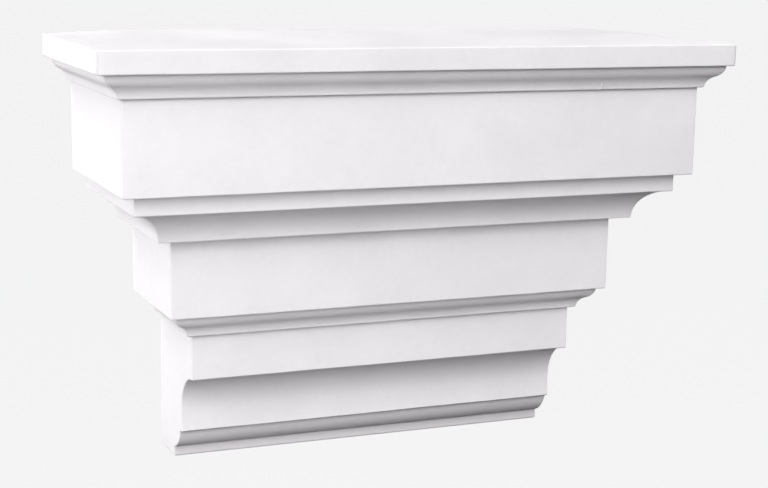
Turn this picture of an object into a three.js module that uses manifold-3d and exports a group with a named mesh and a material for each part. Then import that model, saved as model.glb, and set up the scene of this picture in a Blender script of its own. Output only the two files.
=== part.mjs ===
// Stone corbel: a stepped, moulded block that is built into a wall by its flat back.
// Millimetres. X runs along the wall, +Y points into the wall, +Z is up.
// The origin is on the flat back, halfway between the slab's top arris and the foot's underside.

import * as THREE from 'three';
import { mergeVertices } from 'three/addons/utils/BufferGeometryUtils.js';
import Module from 'manifold-3d';

// Driving dimensions: the slab and the low hipped top that sheds water off it
const slabWidth = 450;
const slabThickness = 15;
const slabArrisRadius = 1;
const slabCornerRadius = 3.5;
const ridgeRise = 3;
const ridgeEndInset = 58;

// Driving dimensions: the ogee, used under the slab and again under the middle fascia
const ogeeReturn = 5;
const ogeeProjection = 10.5;
const ogeeHeight = 16;

// Driving dimensions: the upper fascia, the flat fillet below it and the fillet's cavetto
const upperFasciaReturn = 3.5;
const upperFasciaHeight = 62;
const filletReturn = 9.5;
const filletHeight = 13;
const cavettoProjection = 21;
const cavettoHeight = 21.5;

// Driving dimensions: the middle and lower fascias
const middleFasciaReturn = 11.5;
const middleFasciaHeight = 54;
const lowerFasciaReturn = 4.5;
const lowerFasciaHeight = 32;

// Driving dimensions: the cove, ovolo and foot, worked on the front only, between flat sides
const coveProjection = 26;
const coveHeight = 27.5;
const lipHeight = 16;
const lipFlare = 0.5;
const ovoloReturn = 3.5;
const ovoloProjection = 14;
const ovoloHeight = 15.5;
const ovoloBulge = 2.5;
const footReturn = 1;
const footHeight = 7.5;
const footProjection = 35;

// Smoothness of the slab's arris and corners and of the curved mouldings
const arrisSteps = 4;
const curveSteps = 10;

// Every moulding is a list of places going down its face. Each place is how far the face has stepped in
// and how far it has dropped since the moulding above ended.

/** A run of places worked out at even shares of a curve, from just after its start to its end. */
function curve(steps, place) {
  return Array.from({ length: steps }, (_, index) => place((index + 1) / steps));
}

/** A flat band: steps in under the moulding above, then drops straight down. */
function band(stepIn, height) {
  return [{ inset: stepIn, drop: 0 }, { inset: stepIn, drop: height }];
}

/** The slab's edge: a quarter-round arris, which starts set in by its radius, above a plumb face. */
function slabEdge(thickness, radius) {
  const arris = curve(arrisSteps, (share) => ({
    inset: -radius * Math.sin(share * Math.PI / 2),
    drop: radius * (1 - Math.cos(share * Math.PI / 2)),
  }));
  return [{ inset: 0, drop: 0 }, ...arris, { inset: -radius, drop: thickness }];
}

/** An ogee of two equal arcs, the upper bulging and the lower hollow, plumb at both ends. */
function ogee(stepIn, projection, height) {
  const sweep = 2 * Math.atan(projection / height);
  const radius = (projection ** 2 + height ** 2) / (4 * projection);
  const upper = curve(curveSteps, (share) => ({
    inset: stepIn + radius * (1 - Math.cos(share * sweep)),
    drop: radius * Math.sin(share * sweep),
  }));
  const lower = curve(curveSteps, (share) => ({
    inset: stepIn + projection - radius * (1 - Math.cos((1 - share) * sweep)),
    drop: height - radius * Math.sin((1 - share) * sweep),
  }));
  return [{ inset: stepIn, drop: 0 }, ...upper, ...lower];
}

/** A hollow quarter ellipse, level where it starts and plumb where it ends. */
function hollow(projection, height) {
  return curve(curveSteps, (share) => ({
    inset: projection * Math.sin(share * Math.PI / 2),
    drop: height * (1 - Math.cos(share * Math.PI / 2)),
  }));
}

/** The lower half of the cove, which eases out again to a lip. */
function lip(flare, height) {
  return curve(arrisSteps, (share) => ({ inset: -flare * share ** 2, drop: height * share }));
}

/** A flat ovolo: an arc that stands out from its chord by the bulge at its middle. */
function ovolo(stepIn, projection, height, bulge) {
  const chord = Math.hypot(projection, height);
  const radius = (chord ** 2 / 4 + bulge ** 2) / (2 * bulge);
  const sweep = 2 * Math.asin(chord / (2 * radius));
  const lean = Math.atan2(projection, height) - sweep / 2;
  const face = curve(curveSteps, (share) => ({
    inset: stepIn + radius * (Math.cos(lean) - Math.cos(lean + share * sweep)),
    drop: radius * (Math.sin(lean + share * sweep) - Math.sin(lean)),
  }));
  return [{ inset: stepIn, drop: 0 }, ...face];
}

/** Joins mouldings end to end into one list of places, measured from where the first one starts. */
function joined(mouldings) {
  const places = [];
  let start = { inset: 0, drop: 0 };
  for (const moulding of mouldings) {
    const { inset: startInset, drop: startDrop } = start;
    places.push(...moulding.map(({ inset, drop }) => ({
      inset: startInset + inset,
      drop: startDrop + drop,
    })));
    start = places.at(-1);
  }
  return places;
}

// The tiers step in equally on the front and on both sides. The foot is worked on the front alone.
const ogeeMoulding = ogee(ogeeReturn, ogeeProjection, ogeeHeight);
const tiers = [
  slabEdge(slabThickness, slabArrisRadius),
  ogeeMoulding,
  band(upperFasciaReturn, upperFasciaHeight),
  band(filletReturn, filletHeight),
  hollow(cavettoProjection, cavettoHeight),
  band(middleFasciaReturn, middleFasciaHeight),
  ogeeMoulding,
  band(lowerFasciaReturn, lowerFasciaHeight),
];
const foot = [
  hollow(coveProjection, coveHeight),
  lip(lipFlare, lipHeight),
  ovolo(ovoloReturn, ovoloProjection, ovoloHeight, ovoloBulge),
  band(footReturn, footHeight),
];
const sidePlaces = joined(tiers);
const frontPlaces = joined([...tiers, ...foot]);
const { inset: frontInset, drop: blockHeight } = frontPlaces.at(-1);
const slabProjection = slabArrisRadius + frontInset + footProjection;
const topLevel = blockHeight / 2;
const ridgeLevel = topLevel + ridgeRise;

/** Places as points of an outline whose slab reaches this far out from the wall or the block's middle. */
function facePoints(places, slabReach) {
  const start = slabArrisRadius - slabReach;
  return places.map(({ inset, drop }) => new THREE.Vector2(start + inset, topLevel - drop));
}

/** The section, seen from the block's right: the wall's face is its right edge. */
function sectionShape() {
  return new THREE.Shape([
    new THREE.Vector2(0, ridgeLevel),
    ...facePoints(frontPlaces, slabProjection),
    new THREE.Vector2(0, topLevel - blockHeight),
  ]);
}

/** The elevation, seen from the front: the hipped top, the stepped sides and the foot's flat sides. */
function elevationShape() {
  const side = facePoints(sidePlaces, slabWidth / 2);
  const leftHalf = [
    new THREE.Vector2(ridgeEndInset - slabWidth / 2, ridgeLevel),
    ...side.slice(0, -1),
    new THREE.Vector2(side.at(-1).x, topLevel - blockHeight),
  ];
  const rightHalf = leftHalf.map(({ x, y }) => new THREE.Vector2(-x, y)).reverse();
  return new THREE.Shape([...leftHalf, ...rightHalf]);
}

/** The plan, seen from above: the slab's outline, with both front corners rounded. */
function planShape() {
  const arcX = slabWidth / 2 - slabCornerRadius;
  const arcY = slabCornerRadius - slabProjection;
  return new THREE.Shape()
    .moveTo(-slabWidth / 2, 0)
    .lineTo(-slabWidth / 2, arcY)
    .absarc(-arcX, arcY, slabCornerRadius, Math.PI, 1.5 * Math.PI)
    .lineTo(arcX, -slabProjection)
    .absarc(arcX, arcY, slabCornerRadius, 1.5 * Math.PI, 2 * Math.PI)
    .lineTo(slabWidth / 2, 0);
}

const wasm = await Module();
wasm.setup();

/** A shape drawn on two axes and extruded from a starting point along the third, as a solid. */
function extruded(shape, [acrossAxis, upAxis, lengthAxis], start, length) {
  const geometry = new THREE.ExtrudeGeometry(shape, {
    depth: length,
    bevelEnabled: false,
    curveSegments: arrisSteps,
  });
  geometry.applyMatrix4(new THREE.Matrix4().makeBasis(acrossAxis, upAxis, lengthAxis).setPosition(start));
  geometry.deleteAttribute('normal');
  geometry.deleteAttribute('uv');
  const merged = mergeVertices(geometry);
  return new wasm.Manifold(new wasm.Mesh({
    numProp: 3,
    vertProperties: merged.attributes.position.array,
    triVerts: new Uint32Array(merged.index.array),
  }));
}

/** The block: what its section, its elevation and its plan have in common once each is extruded. */
function blockGeometry() {
  const alongWall = new THREE.Vector3(1, 0, 0);
  const intoWall = new THREE.Vector3(0, 1, 0);
  const outOfWall = new THREE.Vector3(0, -1, 0);
  const up = new THREE.Vector3(0, 0, 1);
  const leftEnd = new THREE.Vector3(-slabWidth / 2, 0, 0);
  const backMiddle = new THREE.Vector3(0, 0, 0);
  const underside = new THREE.Vector3(0, 0, topLevel - blockHeight);

  const section = extruded(sectionShape(), [intoWall, up, alongWall], leftEnd, slabWidth);
  const elevation = extruded(elevationShape(), [alongWall, up, outOfWall], backMiddle, slabProjection);
  const plan = extruded(planShape(), [alongWall, intoWall, up], underside, blockHeight + ridgeRise);
  const mesh = section.intersect(elevation).intersect(plan).getMesh();

  const geometry = new THREE.BufferGeometry();
  geometry.setAttribute('position', new THREE.BufferAttribute(mesh.vertProperties, mesh.numProp));
  geometry.setIndex(new THREE.BufferAttribute(mesh.triVerts, 1));
  return geometry;
}

const castStone = new THREE.MeshStandardMaterial({
  color: 0xf1f0ee,
  roughness: 0.55,
  metalness: 0,
  flatShading: true,
});

const corbel = new THREE.Mesh(blockGeometry(), castStone);
corbel.name = 'corbel';

const part = new THREE.Group();
part.add(corbel);

export default part;
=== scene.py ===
"""A moulded stone corbel, finished in white cast stone and set in a plain pale studio.

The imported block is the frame. This script works the same block as one fine surface, with softened
arrises, eased quirks and a mould joint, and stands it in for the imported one.
"""

import logging
import math
from abc import ABC, abstractmethod
from dataclasses import dataclass, field
from enum import Enum

import bmesh
import bpy
import numpy as np
from bpy.types import NodeSocket as Socket
from mathutils import Matrix, Vector


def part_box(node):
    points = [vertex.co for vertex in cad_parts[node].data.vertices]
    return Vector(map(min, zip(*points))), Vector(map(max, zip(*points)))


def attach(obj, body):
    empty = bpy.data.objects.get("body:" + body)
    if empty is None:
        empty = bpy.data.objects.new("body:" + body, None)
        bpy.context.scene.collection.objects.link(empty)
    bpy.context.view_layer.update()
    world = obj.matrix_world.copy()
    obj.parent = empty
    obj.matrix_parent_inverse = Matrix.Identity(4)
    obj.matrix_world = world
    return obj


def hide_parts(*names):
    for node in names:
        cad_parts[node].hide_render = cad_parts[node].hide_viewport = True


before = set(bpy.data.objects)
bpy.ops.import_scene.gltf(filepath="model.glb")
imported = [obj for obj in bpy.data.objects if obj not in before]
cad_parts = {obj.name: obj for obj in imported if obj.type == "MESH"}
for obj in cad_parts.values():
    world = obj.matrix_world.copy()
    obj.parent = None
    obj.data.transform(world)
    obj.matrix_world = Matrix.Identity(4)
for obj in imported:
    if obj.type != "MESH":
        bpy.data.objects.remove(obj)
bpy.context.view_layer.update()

MM = 0.001
QUARTER_TURN = math.pi / 2

# The middle of a noise texture's values, where most of them lie
NOISE_LOW = 0.35
NOISE_HIGH = 0.65

# Points this close are one point, in metres, and edges that turn more than this many degrees are sharp
WELD_DISTANCE = 1e-7
SHARP_ANGLE = 40.0

log = logging.getLogger("corbel")


class Works(Enum):
    """Which faces of the block a run of the section is worked on."""

    FRONT_AND_SIDES = "front and sides"
    FRONT_ONLY = "front only"


def smooth_step(share: np.ndarray) -> np.ndarray:
    """Eases from 0 to 1: three shares squared less two shares cubed, held flat outside that range."""
    held = np.clip(share, 0.0, 1.0)
    return held * held * (3.0 - 2.0 * held)


def wander(along: np.ndarray, seed: float) -> np.ndarray:
    """A slow, smooth wander from 0 to 1: three sines whose wavelengths share no common measure.

    Args:
        along: Distances along an edge, in millimetres.
        seed: Moves the sines against each other, so that no two edges wander alike.

    Returns:
        One value for each distance.
    """
    swell = np.sin(along / 31.0 + 2.1 * seed) + 0.7 * np.sin(along / 12.7 + 5.3 * seed)
    swell = swell + 0.4 * np.sin(along / 5.9 + 8.9 * seed)
    return np.clip(0.5 + swell / 3.6, 0.0, 1.0)


@dataclass(frozen=True)
class PaintedShade:
    """Painted shade at one end of a run, darkening the colour in a quirk or under an overhang: its amount
    there, from 0 to 1, and its reach in millimetres.
    """

    amount: float = 0.0
    reach: float = 1.0

    def at(self, distance: np.ndarray) -> np.ndarray:
        """The painted shade a distance away: its amount times e to the power of -(distance over reach)
        squared.
        """
        return self.amount * np.exp(-((distance / self.reach) ** 2))


@dataclass(frozen=True)
class Stretch:
    """A smooth run of the section between two sharp corners.

    Its points are (inset, drop) in millimetres: how far the face has stepped in from the slab's face and
    how far it has dropped below the slab's top.
    """

    points: np.ndarray
    rows: int
    works: Works = Works.FRONT_AND_SIDES
    # Painted shade at the run's two ends
    painted_shade: tuple[PaintedShade, PaintedShade] = (PaintedShade(), PaintedShade())

    @property
    def distances(self) -> np.ndarray:
        """The distance of each point from the start, along the run."""
        steps = np.hypot(*np.diff(self.points, axis=0).T)
        return np.concatenate([[0.0], np.cumsum(steps)])

    @property
    def length(self) -> float:
        """The run's whole length."""
        return float(self.distances[-1])

    def at(self, distance: np.ndarray) -> np.ndarray:
        """The (inset, drop) reached after a distance along the run, on a last axis of two."""
        known = self.distances
        return np.stack([np.interp(distance, known, self.points[:, axis]) for axis in (0, 1)], axis=-1)

    def painted_shade_at(self, distance: np.ndarray) -> np.ndarray:
        """The run's own painted shade after a distance along it: the more of its start's shade and its
        end's.
        """
        start, end = self.painted_shade
        return np.maximum(start.at(distance), end.at(self.length - distance))


class Moulding(ABC):
    """One moulding of the section, as runs measured from where the moulding above ended."""

    @abstractmethod
    def runs(self) -> list[np.ndarray]:
        """The moulding's smooth runs, each an array of (inset, drop) points."""


def straight(*corners: tuple[float, float]) -> list[np.ndarray]:
    """Straight runs from corner to corner."""
    return [np.array(pair, dtype=float) for pair in zip(corners, corners[1:])]


@dataclass(frozen=True)
class Band(Moulding):
    """A flat band: steps in under the moulding above, then drops plumb."""

    step_in: float
    height: float

    def runs(self) -> list[np.ndarray]:
        """A level return, where there is one, and a plumb face."""
        corners = [(0.0, 0.0), (self.step_in, 0.0), (self.step_in, self.height)]
        return straight(*corners) if self.step_in else straight(*corners[1:])


@dataclass(frozen=True)
class Ogee(Moulding):
    """An ogee of two equal arcs, the upper bulging and the lower hollow, plumb at both ends."""

    step_in: float
    projection: float
    height: float
    fineness: int = 48

    def runs(self) -> list[np.ndarray]:
        """A level return and the double curve.

        Each arc turns through twice the slope of the chord, arctan(projection / height), and its radius
        is (projection squared + height squared) over four projections. The upper arc steps in by radius
        times (1 - cos) while it drops by radius times sin; the lower one is the upper turned end for end.

        Returns:
            The return's two ends, and the curve's points.
        """
        sweep = 2.0 * math.atan(self.projection / self.height)
        radius = (self.projection**2 + self.height**2) / (4.0 * self.projection)
        turn = np.linspace(0.0, sweep, self.fineness)
        upper = np.stack([radius * (1.0 - np.cos(turn)), radius * np.sin(turn)], axis=-1)
        lower = np.array([self.projection, self.height]) - upper[::-1]
        curve = np.concatenate([upper, lower[1:]]) + np.array([self.step_in, 0.0])
        return [*straight((0.0, 0.0), (self.step_in, 0.0)), curve]


@dataclass(frozen=True)
class Hollow(Moulding):
    """A quarter-ellipse hollow, level where it starts and plumb where it ends, which may flare to a lip."""

    projection: float
    height: float
    lip_height: float = 0.0
    lip_flare: float = 0.0
    fineness: int = 64

    def runs(self) -> list[np.ndarray]:
        """One curve: in by projection times sin while it drops by height times (1 - cos).

        Below it the lip drops plumb and eases out by its flare times the square of the share dropped.

        Returns:
            The curve's points, alone in a list.
        """
        turn = np.linspace(0.0, QUARTER_TURN, self.fineness)
        curve = np.stack([self.projection * np.sin(turn), self.height * (1.0 - np.cos(turn))], axis=-1)
        if self.lip_height:
            share = np.linspace(0.0, 1.0, self.fineness)[1:]
            inset = self.projection - self.lip_flare * share**2
            lip = np.stack([inset, self.height + self.lip_height * share], axis=-1)
            curve = np.concatenate([curve, lip])
        return [curve]


@dataclass(frozen=True)
class Ovolo(Moulding):
    """A flat ovolo: an arc that stands out from its chord by the bulge at its middle."""

    step_in: float
    projection: float
    height: float
    bulge: float
    fineness: int = 64

    def runs(self) -> list[np.ndarray]:
        """A level return and an arc.

        The radius is (a quarter of the chord squared + bulge squared) over twice the bulge. The arc
        starts at a lean, which is the chord's slope less half the sweep. It steps in by radius times
        the fall of the cosine from there, and drops by radius times the rise of the sine.

        Returns:
            The return's two ends, and the arc's points.
        """
        chord = math.hypot(self.projection, self.height)
        radius = (chord**2 / 4.0 + self.bulge**2) / (2.0 * self.bulge)
        sweep = 2.0 * math.asin(chord / (2.0 * radius))
        lean = math.atan2(self.projection, self.height) - sweep / 2.0
        turn = np.linspace(lean, lean + sweep, self.fineness)
        inset = self.step_in + radius * (math.cos(lean) - np.cos(turn))
        drop = radius * (np.sin(turn) - math.sin(lean))
        return [*straight((0.0, 0.0), (self.step_in, 0.0)), np.stack([inset, drop], axis=-1)]


@dataclass(frozen=True)
class Softening:
    """How far the casting's corners are eased, in millimetres, and how finely they are worked.

    The guards are how far rows lie from an eased corner, to hold the face beside it flat. On a short run
    they are no further than their shares of it, and no other row comes closer to them than the clearance.
    """

    slab_arris: float = 1.0
    arris: float = 0.75
    arris_wander: float = 0.4
    foot_arris: float = 1.6
    quirk: float = 0.35
    most_of_run: float = 0.45
    # Painted shade in the quirks: its amount at the corner and its reach in millimetres
    quirk_shade: PaintedShade = PaintedShade(0.6, 0.9)
    guards: tuple[float, ...] = (0.3, 0.8, 1.6)
    guard_shares: tuple[float, ...] = (0.08, 0.2, 0.36)
    guard_clearance: float = 1.0
    arc_steps: int = 5
    curve_pitch: float = 1.3
    face_pitch: float = 9.0


@dataclass
class Rows:
    """The section's rows from the slab's top arris down, one value for each row and column."""

    place: np.ndarray
    tangent: np.ndarray
    front_only: np.ndarray
    arris: np.ndarray
    quirk: np.ndarray


class RowList:
    """Gathers rows one by one, each with a value for every column."""

    def __init__(self, columns: int) -> None:
        """Starts with no rows, for a number of columns."""
        self.columns = columns
        self.rows: list[tuple[np.ndarray, ...]] = []

    def add(
        self,
        place: np.ndarray,
        tangent: np.ndarray,
        front_only: bool,
        arris: float | np.ndarray,
        quirk: float | np.ndarray,
    ) -> None:
        """Adds a row.

        Args:
            place: The (inset, drop) of each column.
            tangent: The way down the section there, of any length.
            front_only: Whether the row lies on the foot, which is worked on the front alone.
            arris: How much of an arris the row is, from 0 to 1, lightened as rubbed wear and painted
                highlight.
            quirk: How much painted shade the row takes, from 0 to 1, in a quirk or under an overhang.
        """
        unit = tangent / np.linalg.norm(tangent, axis=-1, keepdims=True)
        measures = (float(front_only), arris, quirk)
        spread = (np.broadcast_to(measure, self.columns) for measure in measures)
        self.rows.append((place, unit, *spread))

    def stacked(self) -> Rows:
        """All the rows, as arrays by row and column."""
        return Rows(*(np.stack(values) for values in zip(*self.rows)))


@dataclass(frozen=True)
class Section:
    """The corbel's section, as the mouldings that follow each other down from the slab's top."""

    slab_thickness: float = 15.0
    ogee: Ogee = Ogee(step_in=5.0, projection=10.5, height=16.0)
    upper_fascia: Band = Band(step_in=3.5, height=62.0)
    fillet: Band = Band(step_in=9.5, height=13.0)
    cavetto: Hollow = Hollow(projection=21.0, height=21.5)
    middle_fascia: Band = Band(step_in=11.5, height=54.0)
    lower_fascia: Band = Band(step_in=4.5, height=32.0)
    cove: Hollow = Hollow(projection=26.0, height=27.5, lip_height=16.0, lip_flare=0.5)
    ovolo: Ovolo = Ovolo(step_in=3.5, projection=14.0, height=15.5, bulge=2.5)
    foot: Band = Band(step_in=1.0, height=7.5)
    # Painted shade under the overhangs: at the top of the cove under the lower fascia, at both ends of the
    # ovolo, and at the top of the foot under the ovolo
    cove_shade: tuple[PaintedShade, PaintedShade] = (PaintedShade(0.5, 18.0), PaintedShade())
    ovolo_shade: tuple[PaintedShade, PaintedShade] = (PaintedShade(1.0, 1.6), PaintedShade(0.9, 6.0))
    foot_shade: tuple[PaintedShade, PaintedShade] = (PaintedShade(0.3, 12.0), PaintedShade())
    softening: Softening = field(default_factory=Softening)

    def stretches(self) -> list[Stretch]:
        """Joins the mouldings end to end.

        Returns:
            The section's smooth runs, measured from the slab's face and top.
        """
        tiers = [
            Band(step_in=0.0, height=self.slab_thickness),
            self.ogee,
            self.upper_fascia,
            self.fillet,
            self.cavetto,
            self.middle_fascia,
            self.ogee,
            self.lower_fascia,
        ]
        course = [(moulding, Works.FRONT_AND_SIDES, (PaintedShade(), PaintedShade())) for moulding in tiers]
        course.append((self.cove, Works.FRONT_ONLY, self.cove_shade))
        course.append((self.ovolo, Works.FRONT_ONLY, self.ovolo_shade))
        course.append((self.foot, Works.FRONT_ONLY, self.foot_shade))
        joined: list[Stretch] = []
        start = np.zeros(2)
        for moulding, works, painted_shade in course:
            runs = [run + start for run in moulding.runs()]
            joined.extend(Stretch(run, self._rows_for(run), works, painted_shade) for run in runs)
            start = runs[-1][-1]
        return joined

    def _rows_for(self, run: np.ndarray) -> int:
        """Spaces rows closely on a curve and widely on a straight face.

        Args:
            run: The run's points.

        Returns:
            How many rows it takes.
        """
        length = float(np.hypot(*np.diff(run, axis=0).T).sum())
        pitch = self.softening.face_pitch if len(run) == 2 else self.softening.curve_pitch
        return max(2, round(length / pitch))

    @property
    def step_in_to_foot(self) -> float:
        """How far the foot's face is set in from the slab's face."""
        return float(self.stretches()[-1].points[-1, 0])

    @property
    def height(self) -> float:
        """The height from the slab's top arris to the underside."""
        return float(self.stretches()[-1].points[-1, 1])

    @property
    def side_step_in(self) -> float:
        """How far the flat sides of the foot are set in from the slab's sides."""
        foot = [run for run in self.stretches() if run.works is Works.FRONT_ONLY]
        return float(foot[0].points[0, 0])

    def rows(self, along: np.ndarray) -> Rows:
        """Works the eased section under every place along the block's outline.

        Each corner is a quarter of an ellipse that touches the runs on both sides of it: with A and B the
        points where it leaves them and C the sharp corner, its centre is A + B - C, and it swings from
        A - centre to B - centre by cos and sin.

        Args:
            along: How far round the outline each column is, in millimetres.

        Returns:
            The rows, from the slab's top arris to just inside the underside.
        """
        soft = self.softening
        runs = self.stretches()
        # The level runs above and below the section are just long enough for the corners that they share
        top = Stretch(np.array([[2.0 * soft.slab_arris, 0.0], [0.0, 0.0]]), 2)
        base = runs[-1].points[-1]
        under = Stretch(np.array([base, base + [4.0 * soft.foot_arris, 0.0]]), 2)
        chain = [top, *runs, under]
        rows = RowList(len(along))

        radius_before = np.zeros_like(along)
        convex_before = True
        for index, (run, after) in enumerate(zip(chain, chain[1:])):
            radius = self._corner_radius(run, after, along, index)
            convex = self._is_convex(run, after)
            if index:
                self._add_run(rows, run, (radius_before, radius), (convex_before, convex))
            leaves = run.at(run.length - radius)
            meets = after.at(radius)
            centre = leaves + meets - after.points[0]
            front = after.works is Works.FRONT_ONLY and after is not under
            # Painted shade at the corner: in a quirk, and where the run's own painted shade above or below
            # reaches it
            quirk_shade_amount = 0.0 if convex else soft.quirk_shade.amount
            quirk = max(quirk_shade_amount, run.painted_shade_at(run.length), after.painted_shade_at(0.0))
            for step in range(0 if index == 0 else 1, soft.arc_steps):
                turn = QUARTER_TURN * step / soft.arc_steps
                place = centre + (leaves - centre) * math.cos(turn) + (meets - centre) * math.sin(turn)
                tangent = (meets - centre) * math.cos(turn) - (leaves - centre) * math.sin(turn)
                # An arris's crown, which the finish lightens as rubbed wear and painted highlight
                crown = math.sin(2.0 * turn)
                rows.add(place, tangent, front, crown if convex else 0.0, quirk)
            radius_before = radius
            convex_before = convex
        level = np.broadcast_to([1.0, 0.0], (len(along), 2))
        for guard in (0.0, soft.guards[0]):
            rows.add(under.at(radius_before + guard), level, False, 0.0, 0.0)
        return rows.stacked()

    def _add_run(
        self,
        rows: RowList,
        run: Stretch,
        radii: tuple[np.ndarray, np.ndarray],
        convex: tuple[bool, bool],
    ) -> None:
        """Adds the rows of one run between its two eased corners.

        Guard rows lie close to each end. Painted shade darkens the rows near the quirks and wherever the run
        has its own. The way down the section is the line between two places a small step before and after
        the row.

        Args:
            rows: The list that the rows are added to.
            run: The run.
            radii: How far the corners before and after it are eased at each column.
            convex: Whether each of those corners is an arris.
        """
        soft = self.softening
        start, end = radii[0], run.length - radii[1]
        room = end - start
        guards = [np.minimum(guard, room * share) for guard, share in zip(soft.guards, soft.guard_shares)]
        clear = soft.guards[-1] + soft.guard_clearance
        inner = np.linspace(0.0, 1.0, run.rows + 1)[1:-1]
        inner = inner[np.minimum(inner, 1.0 - inner) * run.length > clear]
        distances = [start, *(start + guard for guard in guards)]
        distances += [start + room * share for share in inner]
        distances += [*(end - guard for guard in guards[::-1]), end]
        step = 0.01
        front = run.works is Works.FRONT_ONLY
        for distance in distances:
            ahead = np.minimum(distance + step, run.length)
            behind = np.maximum(distance - step, 0.0)
            gaps = (distance - start, end - distance)
            # Painted shade: the run's own, and near a quirk at either end
            painted_shade = [run.painted_shade_at(distance)]
            painted_shade += [soft.quirk_shade.at(gap) for gap, out in zip(gaps, convex) if not out]
            way = run.at(ahead) - run.at(behind)
            rows.add(run.at(distance), way, front, 0.0, np.maximum.reduce(painted_shade))

    @staticmethod
    def _is_convex(run: Stretch, after: Stretch) -> bool:
        """Tells an arris, which stands out, from a quirk, which turns in.

        Args:
            run: The run above the corner.
            after: The run below it.

        Returns:
            Whether the corner is an arris.
        """
        ahead = run.points[-1] - run.points[-2]
        turned = after.points[1] - after.points[0]
        return bool(ahead[0] * turned[1] - ahead[1] * turned[0] < 0.0)

    def _corner_radius(self, run: Stretch, after: Stretch, along: np.ndarray, index: int) -> np.ndarray:
        """Works how far a corner is eased, which is never past the middle of a short run.

        Args:
            run: The run above the corner.
            after: The run below it.
            along: How far round the outline each column is, in millimetres.
            index: The corner's number, counted down from the slab's top arris.

        Returns:
            The easing at each column, in millimetres.
        """
        soft = self.softening
        if index == 0:
            return np.full_like(along, soft.slab_arris)
        if not self._is_convex(run, after):
            radius = np.full_like(along, soft.quirk)
        elif index == len(self.stretches()):
            radius = np.full_like(along, soft.foot_arris)
        else:
            radius = soft.arris * (1.0 + soft.arris_wander * wander(along, index))
        return np.minimum(radius, soft.most_of_run * min(run.length, after.length))


@dataclass(frozen=True)
class MouldJoint:
    """The fine upright line that two halves of the mould leave on the upper ogee's hollow."""

    x: float = 126.6
    width: float = 0.55
    proud: float = 0.35
    step_down: float = 0.12
    step_fade: float = 30.0
    rise: float = 2.0
    overrun: float = 0.6
    fall: float = 0.5

    def relief(self, x: np.ndarray, drop: np.ndarray, top: float, bottom: float) -> np.ndarray:
        """How far the surface stands proud: a narrow bell across the joint, and a faint step beyond it.

        The bell is proud times e to the power of -(distance from the joint over width) squared. Beyond
        the joint the surface is lower by the step, which fades out. Both ease in over the rise below the
        top, and out over the fall, which ends past the bottom by the overrun.

        Args:
            x: Places along the front, in millimetres.
            drop: How far below the slab's top each place is.
            top: The drop at which the joint starts to show.
            bottom: The drop at which it ends.

        Returns:
            The relief in millimetres.
        """
        end = bottom + self.overrun
        band = smooth_step((drop - top) / self.rise) * smooth_step((end - drop) / self.fall)
        bell = self.proud * np.exp(-(((x - self.x) / self.width) ** 2))
        beyond = np.clip((x - self.x) / self.step_fade, 0.0, 1.0)
        step = -self.step_down * (x > self.x) * (1.0 - smooth_step(beyond))
        return band * (bell + step)


class Nodes:
    """Builds one node tree: adds nodes, sets their sockets and joins them."""

    def __init__(self, tree: bpy.types.NodeTree) -> None:
        """Starts on a tree, emptied."""
        self.tree = tree
        tree.nodes.clear()

    def add(self, kind: str, settings: dict | None = None, **inputs: object) -> bpy.types.Node:
        """Adds a node.

        Args:
            kind: The node's class name, without the leading ShaderNode.
            settings: Properties of the node.
            **inputs: Values or output sockets for the inputs, by name with _ for a space, or by
                number with a leading n.

        Returns:
            The node.
        """
        name = kind if kind.startswith("NodeGroup") else f"ShaderNode{kind}"
        node = self.tree.nodes.new(name)
        for key, value in (settings or {}).items():
            setattr(node, key, value)
        for key, value in inputs.items():
            label = int(key[1:]) if key[1:].isdigit() else key.replace("_", " ")
            socket = node.inputs[label]
            if isinstance(value, Socket):
                self.tree.links.new(value, socket)
            else:
                socket.default_value = value
        return node

    def math(self, operation: str, *values: object, clamp: bool = False) -> Socket:
        """Adds a Math node and returns its output."""
        inputs = {f"n{place}": value for place, value in enumerate(values)}
        return self.add("Math", {"operation": operation, "use_clamp": clamp}, **inputs).outputs[0]

    def noise(self, vector: Socket, scale: object, detail: float, roughness: float) -> Socket:
        """Adds a Noise Texture and returns its value, which lies about 0.5."""
        node = self.add("TexNoise", Vector=vector, Scale=scale, Detail=detail, Roughness=roughness)
        return node.outputs["Fac"]

    def spread(self, tone: Socket, low: float, high: float) -> Socket:
        """Stretches the middle of a noise, where most of its values lie, over a range."""
        middle = {"From_Min": NOISE_LOW, "From_Max": NOISE_HIGH}
        return self.add("MapRange", Value=tone, **middle, To_Min=low, To_Max=high).outputs["Result"]

    def effect(self, kind: type["Effect"], place: Socket, **inputs: float) -> Socket:
        """Adds an effect's group at a place and returns its one output."""
        return self.add("Group", {"node_tree": kind.group()}, Vector=place, **inputs).outputs[0]

    def mix(self, share: object, first: object, second: object) -> Socket:
        """Mixes two colours, each a socket or a linear red, green and blue.

        Args:
            share: How much of the second colour there is, a socket or a number from 0 to 1.
            first: The first colour.
            second: The second colour.

        Returns:
            The mixed colour.
        """
        given = {
            "n0": share,
            "n6": first if isinstance(first, Socket) else (*first, 1.0),
            "n7": second if isinstance(second, Socket) else (*second, 1.0),
        }
        return self.add("Mix", {"data_type": "RGBA", "clamp_factor": True}, **given).outputs[2]


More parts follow.
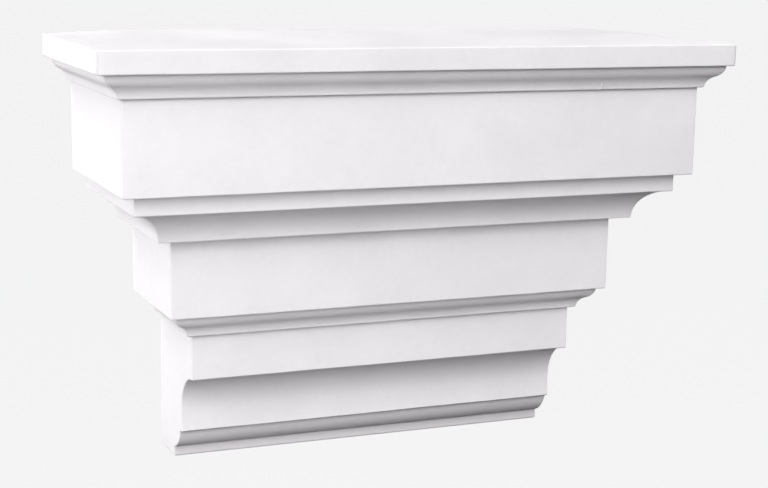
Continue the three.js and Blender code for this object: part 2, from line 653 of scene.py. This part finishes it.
class Effect(ABC):
    """A surface effect that more than one finish uses, built once as a shader node group."""

    name: str
    inputs: dict[str, tuple[str, object]]
    outputs: dict[str, str]

    @classmethod
    def group(cls) -> bpy.types.NodeTree:
        """Makes the effect's node group the first time it is asked for.

        Returns:
            The group.
        """
        found = bpy.data.node_groups.get(cls.name)
        if found:
            return found
        tree = bpy.data.node_groups.new(cls.name, "ShaderNodeTree")
        for label, (kind, value) in cls.inputs.items():
            socket = tree.interface.new_socket(label, in_out="INPUT", socket_type=f"NodeSocket{kind}")
            if value is not None:
                socket.default_value = value
        for label, kind in cls.outputs.items():
            tree.interface.new_socket(label, in_out="OUTPUT", socket_type=f"NodeSocket{kind}")
        nodes = Nodes(tree)
        given = nodes.add("NodeGroupInput")
        results = cls.build(nodes, given.outputs)
        nodes.add("NodeGroupOutput", **{label.replace(" ", "_"): made for label, made in results.items()})
        return tree

    @classmethod
    @abstractmethod
    def build(cls, nodes: Nodes, given: bpy.types.NodeOutputs) -> dict[str, Socket]:
        """Builds the effect's nodes and returns the socket behind each output."""


class Mottle(Effect):
    """Cloudy, uneven tone: broad clouds with a finer curdle in them."""

    name = "cast stone mottle"
    inputs = {"Vector": ("Vector", None), "Cloud Size": ("Float", 0.05), "Curdle Size": ("Float", 0.004)}
    outputs = {"Tone": "Float"}

    @classmethod
    def build(cls, nodes: Nodes, given: bpy.types.NodeOutputs) -> dict[str, Socket]:
        """Tone is seven parts of broad noise to three of fine noise.

        Args:
            nodes: The group's nodes.
            given: The group's inputs.

        Returns:
            The tone, which lies about 0.5.
        """
        broad_scale = nodes.math("DIVIDE", 1.0, given["Cloud Size"])
        fine_scale = nodes.math("DIVIDE", 1.0, given["Curdle Size"])
        broad = nodes.noise(given["Vector"], broad_scale, 3.0, 0.55)
        fine = nodes.noise(given["Vector"], fine_scale, 2.0, 0.5)
        tone = nodes.math("ADD", nodes.math("MULTIPLY", broad, 0.7), nodes.math("MULTIPLY", fine, 0.3))
        return {"Tone": tone}


class SandGrain(Effect):
    """The even, fine sand of a cast face, as a height."""

    name = "fine sand grain"
    inputs = {"Vector": ("Vector", None), "Grain Size": ("Float", 0.0006)}
    outputs = {"Height": "Float"}

    @classmethod
    def build(cls, nodes: Nodes, given: bpy.types.NodeOutputs) -> dict[str, Socket]:
        """Height is noise at the grain's size, with one finer octave."""
        scale = nodes.math("DIVIDE", 1.0, given["Grain Size"])
        return {"Height": nodes.noise(given["Vector"], scale, 1.5, 0.6)}


class AirHoles(Effect):
    """Sparse pinholes where air was caught against the mould, as a mask."""

    name = "pinholes"
    inputs = {
        "Vector": ("Vector", None),
        "Spacing": ("Float", 0.012),
        "Hole Share": ("Float", 0.05),
        "Thinning": ("Float", 0.7),
    }
    outputs = {"Hole": "Float"}

    @classmethod
    def build(cls, nodes: Nodes, given: bpy.types.NodeOutputs) -> dict[str, Socket]:
        """A hole lies about the middle of each cell whose own random value is above the thinning.

        Its depth falls from 1 at the middle to 0 where the distance is the hole's share of a cell.

        Args:
            nodes: The group's nodes.
            given: The group's inputs.

        Returns:
            The mask of the holes.
        """
        scale = nodes.math("DIVIDE", 1.0, given["Spacing"])
        cells = nodes.add("TexVoronoi", Vector=given["Vector"], Scale=scale, Randomness=1.0)
        share = nodes.math("DIVIDE", cells.outputs["Distance"], given["Hole Share"])
        near = nodes.math("SUBTRACT", 1.0, share)
        colour = nodes.add("SeparateColor", Color=cells.outputs["Color"])
        chosen = nodes.math("GREATER_THAN", colour.outputs["Red"], given["Thinning"])
        hole = nodes.math("MULTIPLY", nodes.math("MAXIMUM", near, 0.0), chosen, clamp=True)
        return {"Hole": hole}


@dataclass(frozen=True)
class StoneFinish(ABC):
    """White cast stone with a fine face. Colours are linear; lengths are in metres."""

    name: str = "white cast stone"
    pale: tuple[float, float, float] = (0.885, 0.862, 0.884)
    deep: tuple[float, float, float] = (0.835, 0.812, 0.834)
    # The painted shade's colour, for the quirks, under the overhangs and in the pinholes
    painted_shade_colour: tuple[float, float, float] = (0.42, 0.40, 0.415)
    cloud_size: float = 0.06
    curdle_size: float = 0.0045
    grain_size: float = 0.0007
    grain_depth: float = 0.00003
    hole_spacing: float = 0.014
    hole_share: float = 0.045
    hole_thinning: float = 0.72
    hole_depth: float = 0.0003
    # How much painted shade darkens the pinholes
    hole_shade: float = 0.35
    roughness: tuple[float, float] = (0.5, 0.66)

    def material(self) -> bpy.types.Material:
        """Builds the finish from its clouds, its sand and its pinholes.

        Returns:
            The material.
        """
        material = bpy.data.materials.new(self.name)
        material.use_nodes = True
        nodes = Nodes(material.node_tree)
        place = nodes.add("TexCoord").outputs["Object"]
        tone = nodes.effect(Mottle, place, Cloud_Size=self.cloud_size, Curdle_Size=self.curdle_size)
        grain = nodes.effect(SandGrain, place, Grain_Size=self.grain_size)
        hole = nodes.effect(
            AirHoles,
            place,
            Spacing=self.hole_spacing,
            Hole_Share=self.hole_share,
            Thinning=self.hole_thinning,
        )
        clouded = nodes.mix(nodes.spread(tone, 0.0, 1.0), self.deep, self.pale)
        # Rubbed wear, painted highlight and painted shade on the moulded faces
        worn_and_shaded = self.lay_wear_and_shade(nodes, tone, clouded)
        # Painted shade darkens the pinholes
        pitted = nodes.mix(nodes.math("MULTIPLY", hole, self.hole_shade), worn_and_shaded, self.painted_shade_colour)
        sand = nodes.add("Bump", Height=grain, Distance=self.grain_depth, Strength=1.0)
        relief = self.relief(nodes, place, sand.outputs["Normal"])
        pits = nodes.add(
            "Bump",
            {"invert": True},
            Height=hole,
            Distance=self.hole_depth,
            Strength=1.0,
            Normal=relief,
        )
        shader = nodes.add(
            "BsdfPrincipled",
            Base_Color=pitted,
            Roughness=nodes.spread(tone, *self.roughness),
            Normal=pits.outputs["Normal"],
            IOR=1.5,
            Specular_IOR_Level=0.35,
        )
        nodes.add("OutputMaterial", Surface=shader.outputs["BSDF"])
        return material

    @abstractmethod
    def lay_wear_and_shade(self, nodes: Nodes, tone: Socket, colour: Socket) -> Socket:
        """Lays rubbed wear, painted highlight and painted shade over the clouded colour."""

    @abstractmethod
    def relief(self, nodes: Nodes, place: Socket, normal: Socket) -> Socket:
        """Adds the marks that this face alone has to the sand's normal."""


@dataclass(frozen=True)
class CastFace(StoneFinish):
    """The moulded faces: arrises a little lighter as rubbed wear and painted highlight, and painted shade in
    the quirks and under the overhangs.
    """

    # Rubbed wear and painted highlight on the arrises: the lighter colour, and how much of it
    worn_and_lit: tuple[float, float, float] = (0.92, 0.90, 0.92)
    arris_wear_and_highlight: float = 0.5
    # How much painted shade the quirks and overhangs take
    quirk_shade: float = 0.9

    def lay_wear_and_shade(self, nodes: Nodes, tone: Socket, colour: Socket) -> Socket:
        """Lightens the arrises as rubbed wear and painted highlight, and darkens the quirks and overhangs
        with painted shade, which the mesh's own measures point out.

        The painted shade lies thicker in the clouds.

        Args:
            nodes: The material's nodes.
            tone: The clouds' tone.
            colour: The clouded colour.

        Returns:
            The colour with rubbed wear, painted highlight and painted shade.
        """
        arris = nodes.add("Attribute", {"attribute_name": "arris"}).outputs["Fac"]
        quirk = nodes.add("Attribute", {"attribute_name": "quirk"}).outputs["Fac"]
        # Painted shade in the quirks and under the overhangs, thicker in the clouds; rubbed wear and painted
        # highlight on the arrises
        shaded = nodes.math("MULTIPLY", nodes.math("MULTIPLY", quirk, tone), 2.0 * self.quirk_shade)
        rubbed_and_lit = nodes.mix(nodes.math("MULTIPLY", arris, self.arris_wear_and_highlight), colour, self.worn_and_lit)
        return nodes.mix(shaded, rubbed_and_lit, self.painted_shade_colour)

    def relief(self, nodes: Nodes, place: Socket, normal: Socket) -> Socket:
        """The mould leaves no other mark."""
        return normal


@dataclass(frozen=True)
class StruckBack(StoneFinish):
    """The flat back, struck off level with a board while the mix was wet: drawn, sandier and duller."""

    name: str = "struck cast stone"
    pale: tuple[float, float, float] = (0.80, 0.775, 0.79)
    deep: tuple[float, float, float] = (0.72, 0.695, 0.71)
    grain_size: float = 0.0016
    grain_depth: float = 0.00012
    hole_thinning: float = 0.45
    roughness: tuple[float, float] = (0.72, 0.88)
    drag_width: float = 0.004
    drag_stretch: float = 0.04
    drag_depth: float = 0.0003

    def lay_wear_and_shade(self, nodes: Nodes, tone: Socket, colour: Socket) -> Socket:
        """The back is built in, so it takes no rubbed wear, painted highlight or painted shade."""
        return colour

    def relief(self, nodes: Nodes, place: Socket, normal: Socket) -> Socket:
        """Draws drag lines along the wall: noise drawn out sideways.

        Args:
            nodes: The material's nodes.
            place: Object coordinates.
            normal: The sand's normal.

        Returns:
            The normal with the lines added.
        """
        drawn = nodes.add("Mapping", Vector=place, Scale=(self.drag_stretch, 1.0, 1.0)).outputs["Vector"]
        lines = nodes.noise(drawn, 1.0 / self.drag_width, 3.0, 0.6)
        bump = nodes.add("Bump", Height=lines, Distance=self.drag_depth, Strength=1.0, Normal=normal)
        return bump.outputs["Normal"]


@dataclass
class Corbel:
    """The whole block, carried as one surface: its section swept round its outline.

    Sizes are in millimetres. The overall width, projection and level of the top come from the frame.
    """

    width: float
    projection: float
    underside: float
    section: Section = field(default_factory=Section)
    joint: MouldJoint = field(default_factory=MouldJoint)
    ridge_rise: float = 3.0
    ridge_end_inset: float = 58.0
    slab_corner: float = 3.5
    corner: float = 0.7
    upright_share: float = 0.5
    front_pitch: float = 3.0
    steady_front: float = 132.0
    outer_columns: int = 20
    side_columns: int = 12
    corner_steps: int = 5
    joint_columns: int = 24
    joint_reach: float = 3.0
    joint_clearance: float = 0.5
    top_rows: int = 6

    @classmethod
    def from_frame(cls, node: str) -> "Corbel":
        """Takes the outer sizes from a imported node.

        Args:
            node: The node's name.

        Returns:
            The corbel, with its other sizes as usual.
        """
        low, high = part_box(node)
        return cls(
            width=(high.x - low.x) / MM,
            projection=(high.y - low.y) / MM,
            underside=low.z / MM,
        )

    @property
    def top_level(self) -> float:
        """The level of the slab's top arris."""
        return self.underside + self.section.height

    def _front_places(self) -> tuple[np.ndarray, np.ndarray]:
        """Columns across the front, as steady places and as shares beyond them.

        Returns:
            The places in millimetres, the same at every level, and for each the share of the way from
            the last steady place to the corner, which is 0 on all but the outer columns.
        """
        count = round(2.0 * self.steady_front / self.front_pitch) + 1
        steady = np.linspace(-self.steady_front, self.steady_front, count)
        close = self.joint.x + np.linspace(-self.joint_reach, self.joint_reach, self.joint_columns)
        clear = np.abs(steady - self.joint.x) > self.joint_reach + self.joint_clearance
        steady = np.sort(np.concatenate([steady[clear], close]))
        outer = np.linspace(0.0, 1.0, self.outer_columns + 1)[1:]
        held = np.full_like(outer, self.steady_front)
        places = np.concatenate([-held, steady, held])
        shares = np.concatenate([outer[::-1], np.zeros_like(steady), outer])
        return places, shares

    def _columns(self) -> dict[str, np.ndarray]:
        """The columns round the outline from the back left corner to the back right one.

        Returns:
            By name, one value for each column: steady, a place across the front; beyond, the share from
            there to the corner; hand, -1 on the left and 1 on the right; turn, the angle round the
            corner; back, the share of the way along a side to the wall; front, 1 on the front and 0
            elsewhere.
        """
        places, shares = self._front_places()
        back = np.linspace(1.0, 0.0, self.side_columns + 1)
        turn = np.linspace(QUARTER_TURN, 0.0, self.corner_steps + 1)[1:-1]
        none_front, none_side, none_turn = (np.zeros_like(part) for part in (places, back, turn))
        hand = np.where(places < 0.0, -1.0, 1.0)
        return {
            "steady": np.concatenate([none_side, none_turn, places, none_turn, none_side]),
            "beyond": np.concatenate([none_side, none_turn, shares, none_turn, none_side]),
            "hand": np.concatenate([none_side - 1, none_turn - 1, hand, none_turn + 1, none_side + 1]),
            "turn": np.concatenate(
                [none_side + QUARTER_TURN, turn, none_front, turn[::-1], none_side + QUARTER_TURN]
            ),
            "back": np.concatenate([back, none_turn, none_front, none_turn, back[::-1]]),
            "front": np.concatenate([none_side, none_turn, none_front + 1, none_turn, none_side]),
        }

    def _along(self, columns: dict[str, np.ndarray]) -> np.ndarray:
        """Measures how far round the outline each column is, from the middle of the front.

        Args:
            columns: The columns, as `_columns` gives them.

        Returns:
            Distances in millimetres, negative on the left.
        """
        half = self.width / 2.0
        front = columns["steady"] + columns["hand"] * columns["beyond"] * (half - self.steady_front)
        side = columns["hand"] * (half + self.projection * columns["back"])
        return np.where(columns["front"] > 0.0, front, side)

    def surface(self) -> tuple[np.ndarray, Rows]:
        """Works the moulded skin.

        A row is a level of the section and a column a place round the outline. On the front a point
        stands out from the wall by projection less inset. Round a corner it turns through a small arc:
        sideways by radius times sin, and into the stone, against the section's outward normal, by
        radius times (1 - cos). On a side it runs straight back to the wall. The foot's sides are flat,
        without lightened arrises or painted shade in the quirks. The upright corners are lightened as
        rubbed wear and painted highlight, the less the wider a corner is rounded.

        Returns:
            Points in millimetres, by row and column, and the rows that they came from.
        """
        columns = self._columns()
        rows = self.section.rows(self._along(columns))
        inset, drop = rows.place[..., 0], rows.place[..., 1]
        foot = rows.front_only
        limit = self.section.side_step_in
        below_foot = np.maximum(inset - self.section.step_in_to_foot, 0.0)
        side_inset = np.where(inset > limit, limit + below_foot, inset)
        side_inset = np.where(foot > 0.0, limit, side_inset)

        reach = self.projection - inset
        half = self.width / 2.0 - side_inset
        eased = np.clip(1.0 - np.maximum(inset, 0.0) / self.section.ogee.step_in, 0.0, 1.0)
        radius = self.corner + (self.slab_corner - self.corner) * eased
        level = self.top_level - drop

        normal_in = np.where(foot > 0.0, -rows.tangent[..., 1], -1.0)
        normal_drop = np.where(foot > 0.0, rows.tangent[..., 0], 0.0)
        hand, turn = columns["hand"], columns["turn"]
        sunk = radius * (1.0 - np.cos(turn))
        y = -reach - normal_in * sunk
        z = level + normal_drop * sunk

        steady, beyond = columns["steady"], columns["beyond"]
        across = steady + hand * beyond * (half - radius - self.steady_front)
        x = np.where(columns["front"] > 0.0, across, hand * (half - radius + radius * np.sin(turn)))

        back = columns["back"]
        y = y * (1.0 - back)
        z = z * (1.0 - back) + level * back

        ogee_end = self.section.slab_thickness + self.section.ogee.height
        ogee_middle = ogee_end - self.section.ogee.height / 2.0
        relief = self.joint.relief(x, drop, ogee_middle, ogee_end) * columns["front"]
        y = y - rows.tangent[..., 1] * relief
        z = z - rows.tangent[..., 0] * relief

        # Rubbed wear and painted highlight on the arrises and upright corners, and painted shade in the
        # quirks, all left off the foot's flat sides
        worked = (foot == 0.0) | (turn < QUARTER_TURN)
        upright = np.abs(rows.tangent[..., 1]) > self.upright_share
        crown = np.sin(2.0 * turn) * upright * self.corner / radius
        rows.arris = np.maximum(rows.arris * worked, crown)
        rows.quirk = rows.quirk * worked
        return np.stack([x, y, z], axis=-1), rows

    def top(self, rim: np.ndarray) -> np.ndarray:
        """Works the weathered top, from the ridge on the wall out to the slab's top arris.

        Each point lies on the straight line from its column's place on the rim to its place on the
        ridge. The front's columns spread evenly along the ridge, and each side's meet at its end.

        Args:
            rim: The first row of the moulded skin.

        Returns:
            Points in millimetres, by row and column, from the ridge outward, without the rim itself.
        """
        ridge_half = self.width / 2.0 - self.ridge_end_inset
        rim_half = self.width / 2.0 - self.section.softening.slab_arris
        ridge = np.zeros_like(rim)
        spread = rim[:, 0] * ridge_half / (rim_half - self.slab_corner)
        ridge[:, 0] = np.clip(spread, -ridge_half, ridge_half)
        ridge[:, 2] = self.top_level + self.ridge_rise
        guard = self.section.softening.guards[0] / self.projection
        shares = np.concatenate([np.linspace(0.0, 1.0, self.top_rows + 1)[:-1], [1.0 - guard]])
        return ridge + shares[:, None, None] * (rim - ridge)

    def mesh(self) -> bpy.types.Mesh:
        """Builds the closed mesh, with how much arris lightening and painted shade each point takes.

        Its last four faces are flat: the foot's two sides, the underside and the back against the wall.

        Returns:
            The mesh.
        """
        skin, rows = self.surface()
        top = self.top(skin[0])
        grid = np.concatenate([top, skin])
        row_count, column_count = grid.shape[:2]
        number = np.arange(row_count * column_count).reshape(row_count, column_count)
        quads = np.stack([number[:-1, :-1], number[1:, :-1], number[1:, 1:], number[:-1, 1:]], axis=-1)
        foot = np.flatnonzero(rows.front_only[:, 0]) + len(top)
        first, last = foot[0] - 1, foot[-1]
        worked = np.ones(quads.shape[:2], dtype=bool)
        worked[first:last, : self.side_columns] = False
        worked[first:last, -self.side_columns :] = False
        sides = [self._flat_side(numbers, first, last) for numbers in (number, number[:, ::-1])]
        at_wall = np.r_[0 : first + 1, last:row_count]
        ridge = number[0, -2:0:-1]
        wall_face = np.concatenate([number[at_wall, 0], number[at_wall[::-1], -1], ridge])
        faces = [*quads[worked].tolist(), *sides, number[-1].tolist(), wall_face.tolist()]

        mesh = bpy.data.meshes.new("corbel_stone")
        mesh.from_pydata((grid.reshape(-1, 3) * MM).tolist(), [], faces)
        mesh.shade_smooth()
        for flat_face in mesh.polygons[-4:]:
            flat_face.use_smooth = False
        mesh.polygons[len(faces) - 1].material_index = 1
        blank = np.zeros(top.shape[:2])
        # Two point measures for the finish: arris, lightened as rubbed wear and painted highlight; quirk,
        # darkened as painted shade
        for name, values in (("arris", rows.arris), ("quirk", rows.quirk)):
            attribute = mesh.attributes.new(name, "FLOAT", "POINT")
            attribute.data.foreach_set("value", np.concatenate([blank, values]).astype(np.float32).ravel())
        self._close(mesh)
        return mesh

    def _flat_side(self, number: np.ndarray, first: int, last: int) -> list[int]:
        """The flat side of the foot, as one face, on the side where the columns start.

        Args:
            number: The number of each point, by row and column.
            first: The last row above the foot.
            last: The foot's last row.

        Returns:
            The face's points in order: out from the wall, down the foot's profile and back.
        """
        corner = self.side_columns
        out = number[first, : corner + 1]
        down = number[first + 1 : last + 1, corner]
        home = number[last, :corner][::-1]
        return [*out.tolist(), *down.tolist(), *home.tolist()]

    @staticmethod
    def _close(mesh: bpy.types.Mesh) -> None:
        """Merges the points that meet, drops those that no face uses, and turns every face out.

        Args:
            mesh: The mesh, which is changed in place.
        """
        work = bmesh.new()
        work.from_mesh(mesh)
        bmesh.ops.remove_doubles(work, verts=work.verts, dist=WELD_DISTANCE)
        spare = [point for point in work.verts if not point.link_faces]
        bmesh.ops.delete(work, geom=spare, context="VERTS")
        bmesh.ops.recalc_face_normals(work, faces=work.faces)
        work.to_mesh(mesh)
        work.free()
        mesh.set_sharp_from_angle(angle=math.radians(SHARP_ANGLE))

    def build(self, face: StoneFinish, back: StoneFinish) -> bpy.types.Object:
        """Makes the piece, dresses it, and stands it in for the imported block.

        Args:
            face: The finish of the moulded faces.
            back: The finish of the flat back.

        Returns:
            The piece.
        """
        piece = bpy.data.objects.new("corbel_stone", self.mesh())
        bpy.context.scene.collection.objects.link(piece)
        piece.data.materials.append(face.material())
        piece.data.materials.append(back.material())
        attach(piece, "root")
        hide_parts("corbel")
        return piece


@dataclass(frozen=True)
class SoftLight:
    """A square softbox that faces the block. Angles are in degrees, lengths in metres, power in watts.

    Its bearing is measured round the block from straight in front, to the right; its rise is measured up
    from level.
    """

    name: str
    bearing: float
    rise: float
    distance: float
    size: float
    power: float
    aim: tuple[float, float, float] = (0.0, -0.08, 0.0)

    def build(self) -> bpy.types.Object:
        """Makes the light. It is itself unseen, so that it never stands in front of the block.

        Returns:
            The light.
        """
        bearing, rise = math.radians(self.bearing), math.radians(self.rise)
        level = math.cos(rise)
        way = Vector((math.sin(bearing) * level, -math.cos(bearing) * level, math.sin(rise)))
        data = bpy.data.lights.new(self.name, "AREA")
        data.shape = "SQUARE"
        data.size = self.size
        data.energy = self.power
        light = bpy.data.objects.new(self.name, data)
        light.location = Vector(self.aim) + way * self.distance
        light.rotation_euler = (-way).to_track_quat("-Z", "Y").to_euler()
        light.visible_camera = False
        bpy.context.scene.collection.objects.link(light)
        return light


@dataclass(frozen=True)
class Studio:
    """A plain pale floor under soft light, and the camera at the photograph's angle."""

    floor_level: float = -1.2
    floor_size: float = 120.0
    floor_colour: tuple[float, float, float] = (0.05, 0.05, 0.05)
    backdrop: tuple[float, float, float] = (0.89, 0.89, 0.89)
    sky_strength: float = 0.05
    camera_place: tuple[float, float, float] = (-0.44803, -1.12365, 0.21771)
    camera_yaw: float = 23.0
    camera_pitch: float = -10.60
    camera_roll: float = 1.09
    lens: float = 77.31
    lights: tuple[SoftLight, ...] = (
        SoftLight("front left", -30.0, 30.0, 2.5, 2.0, 52.6),
        SoftLight("front right", 30.0, 30.0, 2.5, 2.0, 10.75),
        SoftLight("right", 60.0, 30.0, 2.5, 2.0, 14.9),
        SoftLight("behind right", 120.0, 0.0, 2.5, 2.0, 26.0),
        SoftLight("behind, high", -150.0, 60.0, 2.5, 2.0, 42.8),
        SoftLight("behind, level", -150.0, 0.0, 2.5, 2.0, 43.3),
        SoftLight("behind, low", -120.0, -15.0, 2.5, 1.0, 10.6),
        SoftLight("front, low", -45.0, -20.0, 1.0, 0.6, 3.3),
    )

    def build(self) -> None:
        """Makes the floor, the world, the lights and the camera."""
        self._floor()
        self._world()
        for light in self.lights:
            light.build()
        self._camera()
        bpy.context.scene.view_settings.view_transform = "Standard"

    def _floor(self) -> None:
        """A wide level floor, pale to the camera, which throws no light back up on the block."""
        half = self.floor_size / 2.0
        mesh = bpy.data.meshes.new("floor")
        corners = [(-half, -half), (half, -half), (half, half), (-half, half)]
        mesh.from_pydata([(x, y, self.floor_level) for x, y in corners], [], [(0, 1, 2, 3)])
        floor = bpy.data.objects.new("floor", mesh)
        floor.visible_diffuse = False
        floor.visible_glossy = False
        bpy.context.scene.collection.objects.link(floor)
        material = bpy.data.materials.new("pale floor")
        material.use_nodes = True
        nodes = Nodes(material.node_tree)
        lit = nodes.add("BsdfDiffuse", Color=(*self.floor_colour, 1.0))
        glow = nodes.add("Emission", Color=(*self.backdrop, 1.0))
        shader = nodes.add("AddShader", n0=lit.outputs["BSDF"], n1=glow.outputs["Emission"])
        nodes.add("OutputMaterial", Surface=shader.outputs["Shader"])
        mesh.materials.append(material)

    def _world(self) -> None:
        """A weak, even light from above the horizon. The camera sees the backdrop's even pale instead."""
        world = bpy.data.worlds.new("surround")
        world.use_nodes = True
        nodes = Nodes(world.node_tree)
        way = nodes.add("SeparateXYZ", Vector=nodes.add("TexCoord").outputs["Generated"])
        above = nodes.math("GREATER_THAN", way.outputs["Z"], 0.0)
        sky = nodes.add(
            "Background",
            Color=(1.0, 1.0, 1.0, 1.0),
            Strength=nodes.math("MULTIPLY", above, self.sky_strength),
        )
        seen = nodes.add("Background", Color=(*self.backdrop, 1.0))
        share = nodes.add("LightPath").outputs["Is Camera Ray"]
        mixed = nodes.add("MixShader", n0=share, n1=sky.outputs["Background"], n2=seen.outputs["Background"])
        nodes.add("OutputWorld", Surface=mixed.outputs["Shader"])
        bpy.context.scene.world = world

    def _camera(self) -> None:
        """The camera, turned by yaw towards +X, by pitch and by roll."""
        data = bpy.data.cameras.new("camera")
        data.lens = self.lens
        data.sensor_width = 36.0
        data.clip_end = 200.0
        camera = bpy.data.objects.new("camera", data)
        yaw, pitch, roll = (math.radians(a) for a in (self.camera_yaw, self.camera_pitch, self.camera_roll))
        turned = Matrix.Rotation(-yaw, 4, "Z") @ Matrix.Rotation(QUARTER_TURN + pitch, 4, "X")
        camera.matrix_world = Matrix.Translation(self.camera_place) @ turned @ Matrix.Rotation(roll, 4, "Z")
        bpy.context.scene.collection.objects.link(camera)
        bpy.context.scene.camera = camera


def main() -> None:
    """Builds the studio and the corbel, and reports the piece."""
    logging.basicConfig(level=logging.INFO, format="%(name)s: %(message)s")
    Studio().build()
    piece = Corbel.from_frame("corbel").build(CastFace(), StruckBack())
    piece.data.calc_loop_triangles()
    log.info("%s: %d triangles", piece.name, len(piece.data.loop_triangles))


if __name__ == "__main__":
    main()
